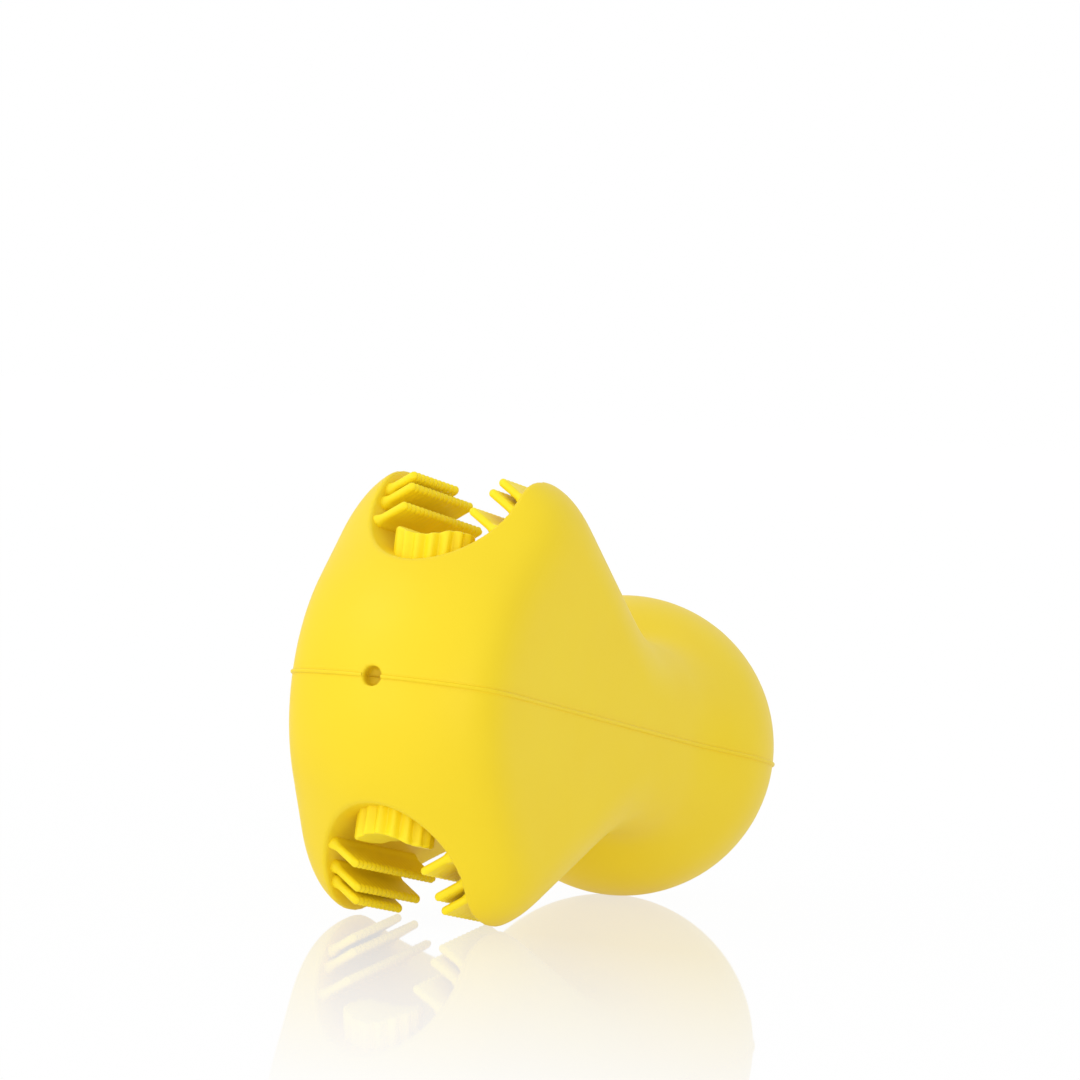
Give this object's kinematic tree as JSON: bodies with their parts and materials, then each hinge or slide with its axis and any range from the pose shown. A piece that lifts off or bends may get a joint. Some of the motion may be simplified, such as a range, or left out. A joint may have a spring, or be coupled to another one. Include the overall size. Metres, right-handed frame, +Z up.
{
  "type": "rubber dental chew toy",
  "caption": "Soft moulded T-shaped rubber piece with toothed troughs across its horn ends, a waisted neck and a round hollow bulb.",
  "frame": {"origin": "centre of the bounding box on the surface that the part lies on", "axes": "+Y from the domed front to the bulb, +Z up through the upper horn, X across; the part lies on its lower horn and its bulb, so its stem is tilted 8.6 degrees nose up"},
  "size_m": [0.0572, 0.1334, 0.079],
  "materials": {
    "yellow_rubber": "satin"
  },
  "bodies": {
    "shell": {"upper_shell": "yellow_rubber", "lower_shell": "yellow_rubber", "upper_fluted_stud": "yellow_rubber", "lower_fluted_stud": "yellow_rubber"},
    "upper_left_fin_1": {"upper_left_fin_1": "yellow_rubber"},
    "upper_left_fin_2": {"upper_left_fin_2": "yellow_rubber"},
    "upper_left_fin_3": {"upper_left_fin_3": "yellow_rubber"},
    "upper_right_fin_1": {"upper_right_fin_1": "yellow_rubber"},
    "upper_right_fin_2": {"upper_right_fin_2": "yellow_rubber"},
    "upper_right_fin_3": {"upper_right_fin_3": "yellow_rubber"},
    "lower_left_fin_1": {"lower_left_fin_1": "yellow_rubber"},
    "lower_left_fin_2": {"lower_left_fin_2": "yellow_rubber"},
    "lower_left_fin_3": {"lower_left_fin_3": "yellow_rubber"},
    "lower_right_fin_1": {"lower_right_fin_1": "yellow_rubber"},
    "lower_right_fin_2": {"lower_right_fin_2": "yellow_rubber"},
    "lower_right_fin_3": {"lower_right_fin_3": "yellow_rubber"}
  },
  "joints": [
    {"name": "upper_left_fin_1_flex", "type": "hinge", "parent": "shell", "child": "upper_left_fin_1", "pos_m": [-0.01172, -0.03138, 0.06753], "axis": [0, 0.9889, -0.1488], "range_deg": [-5, 5], "stiffness_Nm_per_rad": 0.00634},
    {"name": "upper_left_fin_2_flex", "type": "hinge", "parent": "shell", "child": "upper_left_fin_2", "pos_m": [-0.01304, -0.02974, 0.07074], "axis": [0, 0.9889, -0.1488], "range_deg": [-5, 5], "stiffness_Nm_per_rad": 0.00451},
    {"name": "upper_left_fin_3_flex", "type": "hinge", "parent": "shell", "child": "upper_left_fin_3", "pos_m": [-0.0134, -0.0314, 0.07381], "axis": [0, 0.9889, -0.1488], "range_deg": [-5, 5], "stiffness_Nm_per_rad": 0.00339},
    {"name": "upper_right_fin_1_flex", "type": "hinge", "parent": "shell", "child": "upper_right_fin_1", "pos_m": [0.01172, -0.03138, 0.06753], "axis": [0, 0.9889, -0.1488], "range_deg": [-5, 5], "stiffness_Nm_per_rad": 0.00634},
    {"name": "upper_right_fin_2_flex", "type": "hinge", "parent": "shell", "child": "upper_right_fin_2", "pos_m": [0.01304, -0.02974, 0.07074], "axis": [0, 0.9889, -0.1488], "range_deg": [-5, 5], "stiffness_Nm_per_rad": 0.00451},
    {"name": "upper_right_fin_3_flex", "type": "hinge", "parent": "shell", "child": "upper_right_fin_3", "pos_m": [0.0134, -0.0314, 0.07381], "axis": [0, 0.9889, -0.1488], "range_deg": [-5, 5], "stiffness_Nm_per_rad": 0.00339},
    {"name": "lower_left_fin_1_flex", "type": "hinge", "parent": "shell", "child": "lower_left_fin_1", "pos_m": [-0.01172, -0.03984, 0.01134], "axis": [0, 0.9889, -0.1488], "range_deg": [-5, 5], "stiffness_Nm_per_rad": 0.00634},
    {"name": "lower_left_fin_2_flex", "type": "hinge", "parent": "shell", "child": "lower_left_fin_2", "pos_m": [-0.01304, -0.03921, 0.00778], "axis": [0, 0.9889, -0.1488], "range_deg": [-5, 5], "stiffness_Nm_per_rad": 0.00451},
    {"name": "lower_left_fin_3_flex", "type": "hinge", "parent": "shell", "child": "lower_left_fin_3", "pos_m": [-0.0134, -0.0417, 0.00534], "axis": [0, 0.9889, -0.1488], "range_deg": [-5, 5], "stiffness_Nm_per_rad": 0.00339},
    {"name": "lower_right_fin_1_flex", "type": "hinge", "parent": "shell", "child": "lower_right_fin_1", "pos_m": [0.01172, -0.03984, 0.01134], "axis": [0, 0.9889, -0.1488], "range_deg": [-5, 5], "stiffness_Nm_per_rad": 0.00634},
    {"name": "lower_right_fin_2_flex", "type": "hinge", "parent": "shell", "child": "lower_right_fin_2", "pos_m": [0.01304, -0.03921, 0.00778], "axis": [0, 0.9889, -0.1488], "range_deg": [-5, 5], "stiffness_Nm_per_rad": 0.00451},
    {"name": "lower_right_fin_3_flex", "type": "hinge", "parent": "shell", "child": "lower_right_fin_3", "pos_m": [0.0134, -0.0417, 0.00534], "axis": [0, 0.9889, -0.1488], "range_deg": [-5, 5], "stiffness_Nm_per_rad": 0.00339}
  ]
}
